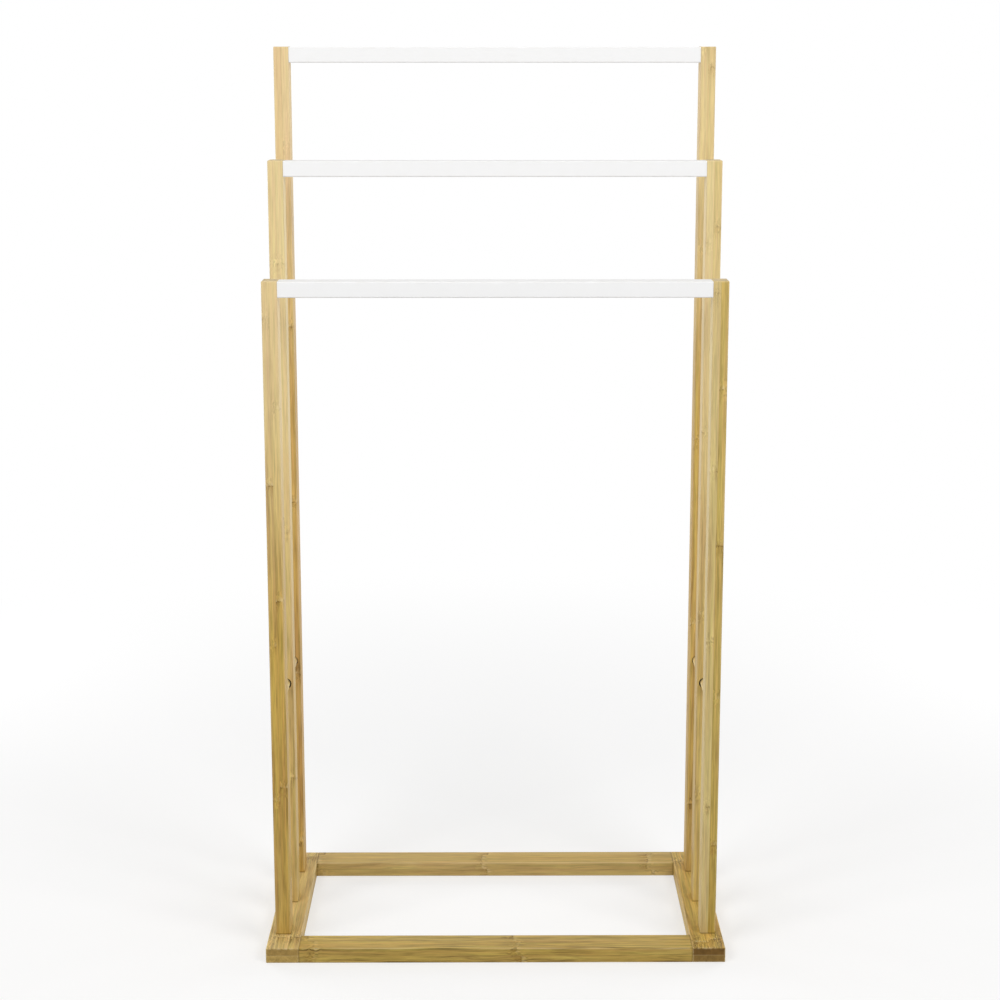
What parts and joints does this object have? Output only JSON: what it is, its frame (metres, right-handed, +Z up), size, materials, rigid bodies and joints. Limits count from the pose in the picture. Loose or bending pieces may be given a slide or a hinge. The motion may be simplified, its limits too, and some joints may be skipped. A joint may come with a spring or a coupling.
{
  "type": "towel rack",
  "caption": "Free-standing stepped towel rack: bamboo base frame, posts rising from front to back, white crossbars between the post tops and a round stretcher along each side.",
  "frame": {"origin": "on the floor, under the middle of the base frame", "axes": "+X to the right seen from the front, +Y from the front to the back, +Z up"},
  "size_m": [0.42, 0.24, 0.82],
  "materials": {
    "bamboo": "satin clear lacquer",
    "white_lacquer": "satin white lacquer",
    "zinc_steel": "zinc plated",
    "beech": "bare"
  },
  "bodies": {
    "root": {"left_side_rail": "bamboo", "right_side_rail": "bamboo", "front_rail": "bamboo", "rear_rail": "bamboo", "left_front_post": "bamboo", "left_middle_post": "bamboo", "left_rear_post": "bamboo", "right_front_post": "bamboo", "right_middle_post": "bamboo", "right_rear_post": "bamboo", "left_stretcher": "bamboo", "right_stretcher": "bamboo", "front_towel_bar": "white_lacquer", "middle_towel_bar": "white_lacquer", "rear_towel_bar": "white_lacquer", "bar_screws": "zinc_steel", "rail_screws": "zinc_steel", "post_screws": "zinc_steel", "bar_pins": "beech", "rail_pins": "beech", "post_pins": "beech"}
  },
  "joints": []
}
